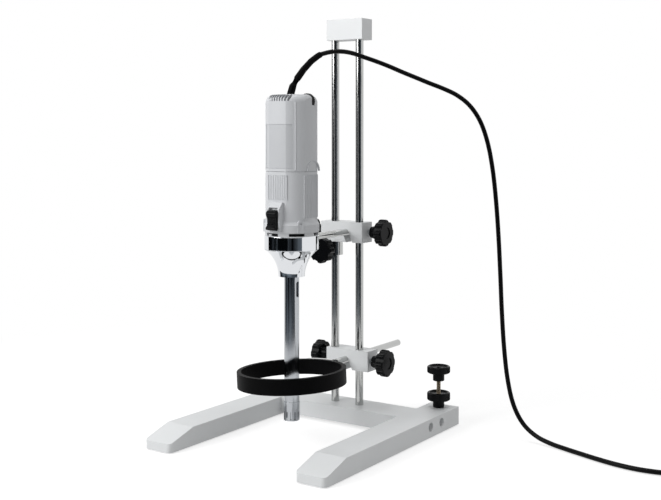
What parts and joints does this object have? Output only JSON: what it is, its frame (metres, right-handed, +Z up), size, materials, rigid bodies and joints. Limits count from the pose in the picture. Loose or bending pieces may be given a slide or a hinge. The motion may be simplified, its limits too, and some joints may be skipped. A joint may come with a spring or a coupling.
{
  "type": "rotor stator homogenizer",
  "caption": "Bench homogenizer: a hand-held motor with a rotor-stator tool hangs on a two-column stand with clamp heads, star knobs, a vessel strap and a mains cord.",
  "frame": {"origin": "middle of the stand's footprint, legs and holder rod together, on the table", "axes": "+X to the right of the stand, +Y to the back, +Z up"},
  "size_m": [0.7505, 0.423, 0.601],
  "materials": {
    "anodised": "satin clear anodised, almost white",
    "ground_steel": "ground and polished",
    "black_screws": "black oxide",
    "zinc": "zinc plated",
    "knob_plastic": "moulded, fine satin",
    "polished_chrome": "mirror polished",
    "tool_steel": "polished stainless steel",
    "housing_abs": "moulded, fine texture",
    "trim_abs": "moulded, smooth",
    "motor_metal": "machined",
    "laminations": "varnished laminations",
    "copper": "machined",
    "carbon": "pressed carbon",
    "bush_plastic": "machined PTFE",
    "rubber_black": "smooth black rubber"
  },
  "bodies": {
    "base": {"left_leg": "anodised", "right_leg": "anodised", "crossbar": "anodised", "leg_screws": "black_screws", "foot_pads": "rubber_black", "column_left": "ground_steel", "column_right": "ground_steel", "column_screws": "black_screws", "top_block": "anodised"},
    "leveling_screw": {"leveling_knob": "knob_plastic", "leveling_stud": "zinc"},
    "lock_ring": {"lock_knob": "knob_plastic"},
    "upper_head": {"upper_block": "anodised"},
    "upper_rod_clamp": {"upper_rod_knob": "knob_plastic", "upper_rod_screw": "zinc"},
    "upper_column_clamp": {"upper_column_knob": "knob_plastic", "upper_column_screw": "zinc"},
    "stop": {"stop_collar": "ground_steel"},
    "stop_clamp": {"stop_knob": "knob_plastic", "stop_screw": "zinc"},
    "arm": {"arm_rod": "ground_steel", "motor_collar": "polished_chrome", "collar_screw": "black_screws", "cone_adapter": "polished_chrome", "tool_tube": "tool_steel", "shaft_bushes": "bush_plastic", "stator_head": "tool_steel", "upper_housing": "housing_abs", "lower_housing": "housing_abs", "label_plate": "trim_abs", "switch_surround": "trim_abs", "air_ring": "housing_abs", "motor_flange": "motor_metal", "field_core": "laminations", "brushes": "carbon", "bearings": "motor_metal", "housing_screws": "black_screws", "strain_relief": "rubber_black", "cord": "rubber_black", "cord_coil": "rubber_black", "plug": "knob_plastic", "plug_pins": "copper"},
    "rotor": {"armature": "laminations", "commutator": "copper", "fan": "knob_plastic", "motor_spindle": "motor_metal", "shaft_coupling": "motor_metal", "drive_shaft": "tool_steel", "rotor_head": "tool_steel"},
    "switch": {"switch_rocker": "knob_plastic"},
    "dial": {"speed_dial": "knob_plastic"},
    "lower_head": {"lower_block": "anodised"},
    "lower_column_clamp": {"lower_column_knob": "knob_plastic", "lower_column_screw": "zinc"},
    "lower_rod_clamp": {"lower_rod_knob": "knob_plastic", "lower_rod_screw": "zinc"},
    "vessel_holder": {"holder_rod": "ground_steel", "holder_head": "ground_steel", "strap_rivets": "zinc", "holder_strap": "rubber_black"}
  },
  "joints": [
    {"name": "upper_head_slide", "type": "slide", "parent": "base", "child": "upper_head", "axis": [0, 0, 1], "range_m": [0, 0.25]},
    {"name": "stop_collar_slide", "type": "slide", "parent": "base", "child": "stop", "axis": [0, 0, 1], "range_m": [-0.06, 0]},
    {"name": "arm_slide", "type": "slide", "parent": "upper_head", "child": "arm", "axis": [0, 1, 0], "range_m": [-0.025, 0.025]},
    {"name": "rotor_spin", "type": "hinge", "parent": "arm", "child": "rotor", "pos_m": [0.0025, -0.0785, 0.284], "axis": [0, 0, 1], "continuous": true},
    {"name": "switch_slide", "type": "slide", "parent": "arm", "child": "switch", "axis": [0, 0, 1], "range_m": [0, 0.005]},
    {"name": "speed_dial_turn", "type": "hinge", "parent": "arm", "child": "dial", "pos_m": [0.0265, -0.0745, 0.4756], "axis": [0, 1, 0], "range_deg": [0, 270]},
    {"name": "upper_rod_knob_turn", "type": "hinge", "parent": "upper_head", "child": "upper_rod_clamp", "pos_m": [0.06, 0.078, 0.284], "axis": [1, 0, 0], "range_deg": [0, 360]},
    {"name": "upper_column_knob_turn", "type": "hinge", "parent": "upper_head", "child": "upper_column_clamp", "pos_m": [-0.06, 0.0665, 0.284], "axis": [1, 0, 0], "range_deg": [0, 360]},
    {"name": "stop_knob_turn", "type": "hinge", "parent": "stop", "child": "stop_clamp", "pos_m": [-0.0215, 0.0365, 0.2587], "axis": [0, 1, 0], "range_deg": [0, 360]},
    {"name": "leveling_turn", "type": "hinge", "parent": "base", "child": "leveling_screw", "pos_m": [0.1265, 0.1195, 0.06], "axis": [0, 0, 1], "range_deg": [-360, 360]},
    {"name": "lock_knob_turn", "type": "hinge", "parent": "base", "child": "lock_ring", "pos_m": [0.1265, 0.1195, 0.04], "axis": [0, 0, 1], "range_deg": [0, 360]},
    {"name": "lower_head_slide", "type": "slide", "parent": "base", "child": "lower_head", "axis": [0, 0, 1], "range_m": [-0.04, 0.07]},
    {"name": "lower_column_knob_turn", "type": "hinge", "parent": "lower_head", "child": "lower_column_clamp", "pos_m": [0.06, 0.0665, 0.094], "axis": [1, 0, 0], "range_deg": [0, 360]},
    {"name": "lower_rod_knob_turn", "type": "hinge", "parent": "lower_head", "child": "lower_rod_clamp", "pos_m": [-0.06, 0.078, 0.094], "axis": [1, 0, 0], "range_deg": [0, 360]},
    {"name": "holder_slide", "type": "slide", "parent": "lower_head", "child": "vessel_holder", "axis": [0, 1, 0], "range_m": [-0.05, 0.045]}
  ]
}
